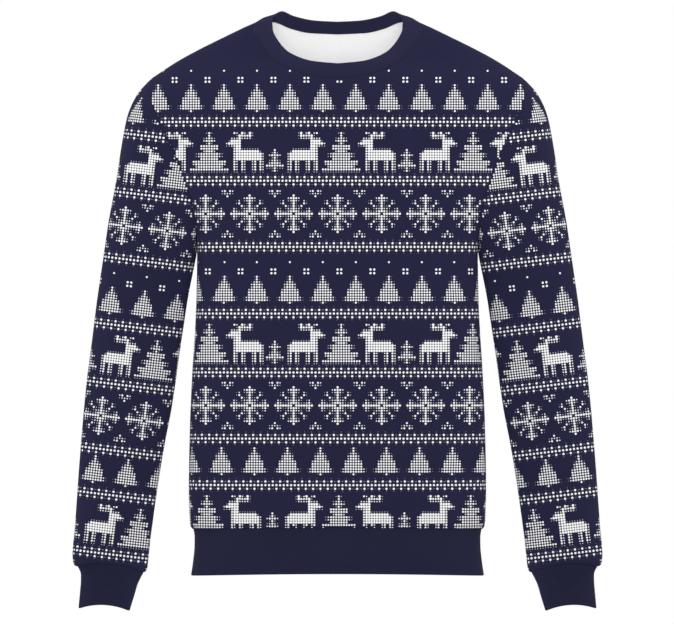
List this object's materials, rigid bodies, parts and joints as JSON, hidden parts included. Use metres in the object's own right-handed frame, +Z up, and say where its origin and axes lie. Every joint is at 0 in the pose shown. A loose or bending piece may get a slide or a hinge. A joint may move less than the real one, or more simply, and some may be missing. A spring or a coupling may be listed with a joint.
{
  "type": "christmas sweater",
  "caption": "Long-sleeved crew-neck christmas sweater in its worn shape, hollow and open at neck, hem and cuffs, in navy cloth with a white reindeer, tree and snowflake pattern.",
  "frame": {"origin": "middle of the neck, at the height of the neck points where the shoulder seams start", "axes": "+Z up, the front faces -Y, +X to the wearer's left"},
  "size_m": [0.6576, 0.245, 0.745],
  "materials": {
    "front": "smooth matt jersey, white pattern printed on navy, white inside",
    "back": "smooth matt jersey, white pattern printed on navy, white inside",
    "sleeve_left": "smooth matt jersey, white pattern printed on navy, white inside",
    "sleeve_right": "smooth matt jersey, white pattern printed on navy, white inside",
    "neckband": "plain navy jersey folded double, matt",
    "hem_band": "plain navy jersey folded double, matt",
    "cuff_left": "plain navy jersey folded double, matt",
    "cuff_right": "plain navy jersey folded double, matt"
  },
  "bodies": {
    "root": {"front": "front", "back": "back", "sleeve_left": "sleeve_left", "sleeve_right": "sleeve_right", "neckband": "neckband", "hem_band": "hem_band", "cuff_left": "cuff_left", "cuff_right": "cuff_right"}
  },
  "joints": []
}
